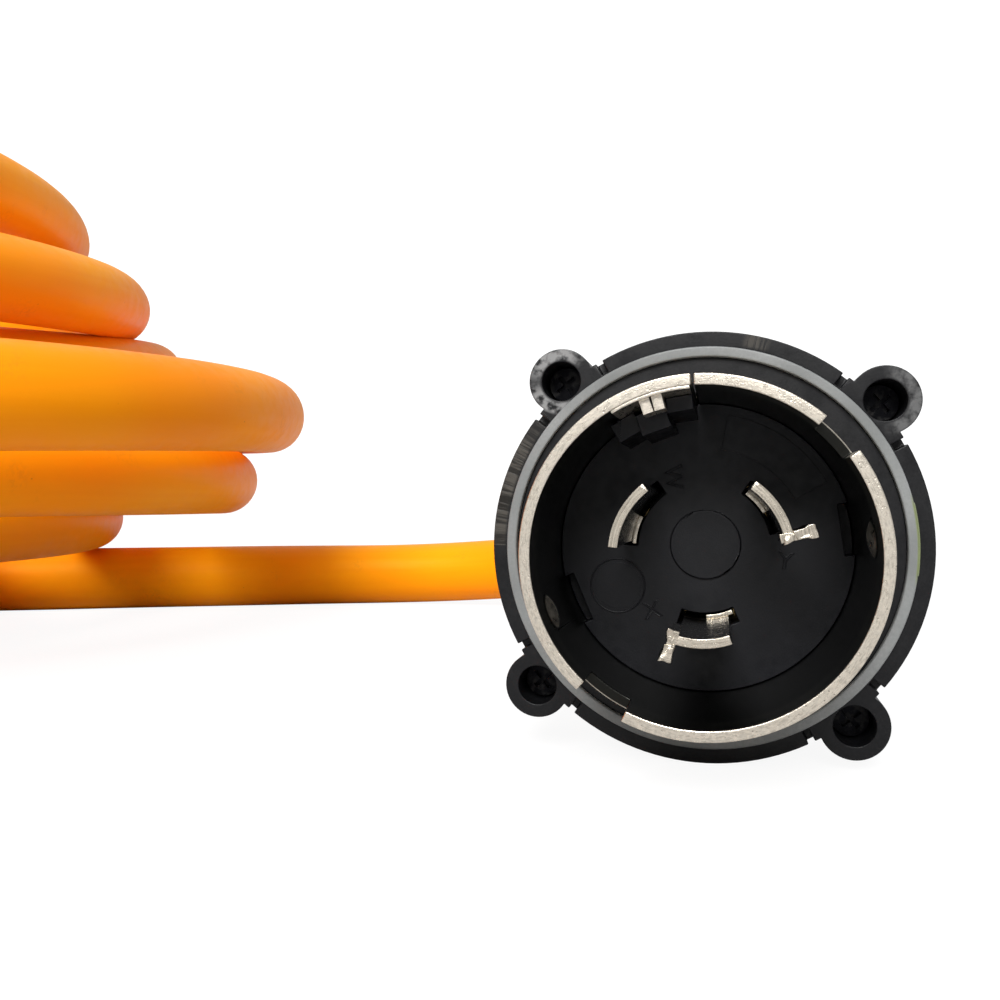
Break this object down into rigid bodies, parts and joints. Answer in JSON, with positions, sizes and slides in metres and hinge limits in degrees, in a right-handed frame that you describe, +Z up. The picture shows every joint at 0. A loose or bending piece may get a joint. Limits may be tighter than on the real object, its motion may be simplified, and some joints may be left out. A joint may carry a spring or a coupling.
{
  "type": "shore power cord",
  "caption": "Shore power cord: locking plug with metal ground shell and curved blades, heavy orange cord in a loose coil, and a female locking connector with a spinning ring.",
  "frame": {"origin": "on the floor below the middle of the plug, which stands on its flange", "axes": "+Y along the plug's axis from its face towards the cord, +X to the right seen from the front, +Z up"},
  "size_m": [0.6458, 0.4389, 0.2335],
  "materials": {
    "nickel_shell": "nickel plate, pitted",
    "blade_metal": "nickel plate",
    "black_insulator": "moulded, satin",
    "black_nylon": "moulded, satin",
    "grey_gasket": "smooth",
    "screw_steel": "zinc plate",
    "terminal_brass": "satin",
    "black_rubber": "matte",
    "orange_jacket": "soft gloss",
    "wire_black": "satin",
    "wire_red": "satin",
    "wire_white": "satin",
    "wire_green": "satin"
  },
  "bodies": {
    "root": {"ground_shell": "nickel_shell", "ground_clip": "nickel_shell", "blade_w": "blade_metal", "blade_x": "blade_metal", "blade_y": "blade_metal", "strap_w": "blade_metal", "strap_x": "blade_metal", "strap_y": "blade_metal", "face_insulator": "black_insulator", "rear_insulator": "black_insulator", "front_flange": "black_nylon", "rear_housing": "black_nylon", "gasket_ring": "grey_gasket", "assembly_screws": "screw_steel", "clamp_upper": "black_nylon", "clamp_lower": "black_nylon", "clamp_screws": "screw_steel", "terminal_w": "terminal_brass", "terminal_x": "terminal_brass", "terminal_y": "terminal_brass", "terminal_ground": "terminal_brass", "terminal_screws": "screw_steel", "cord_grommet": "black_rubber", "strain_relief": "black_rubber", "cord_stub": "orange_jacket", "cord_lead": "orange_jacket", "cord_coil": "orange_jacket", "cord_tail": "orange_jacket", "conductor_black": "wire_black", "conductor_red": "wire_red", "conductor_white": "wire_white", "conductor_green": "wire_green", "connector_core": "black_insulator", "connector_base": "black_insulator", "connector_terminal_screws": "screw_steel", "connector_sleeve": "black_nylon", "connector_ground_ring": "nickel_shell", "connector_contacts": "terminal_brass", "connector_terminals": "terminal_brass", "connector_seal": "grey_gasket", "connector_housing": "black_nylon", "connector_screws": "screw_steel", "connector_clamp_upper": "black_nylon", "connector_clamp_lower": "black_nylon", "connector_clamp_screws": "screw_steel", "connector_grommet": "black_rubber", "connector_strain_relief": "black_rubber", "connector_stub": "orange_jacket", "connector_conductors": "wire_black"},
    "ring": {"locking_ring": "black_nylon"}
  },
  "joints": [
    {"name": "locking_ring_spin", "type": "hinge", "parent": "root", "child": "ring", "pos_m": [-0.566, -0.0415, 0.194], "axis": [0, -1, 0], "continuous": true}
  ]
}
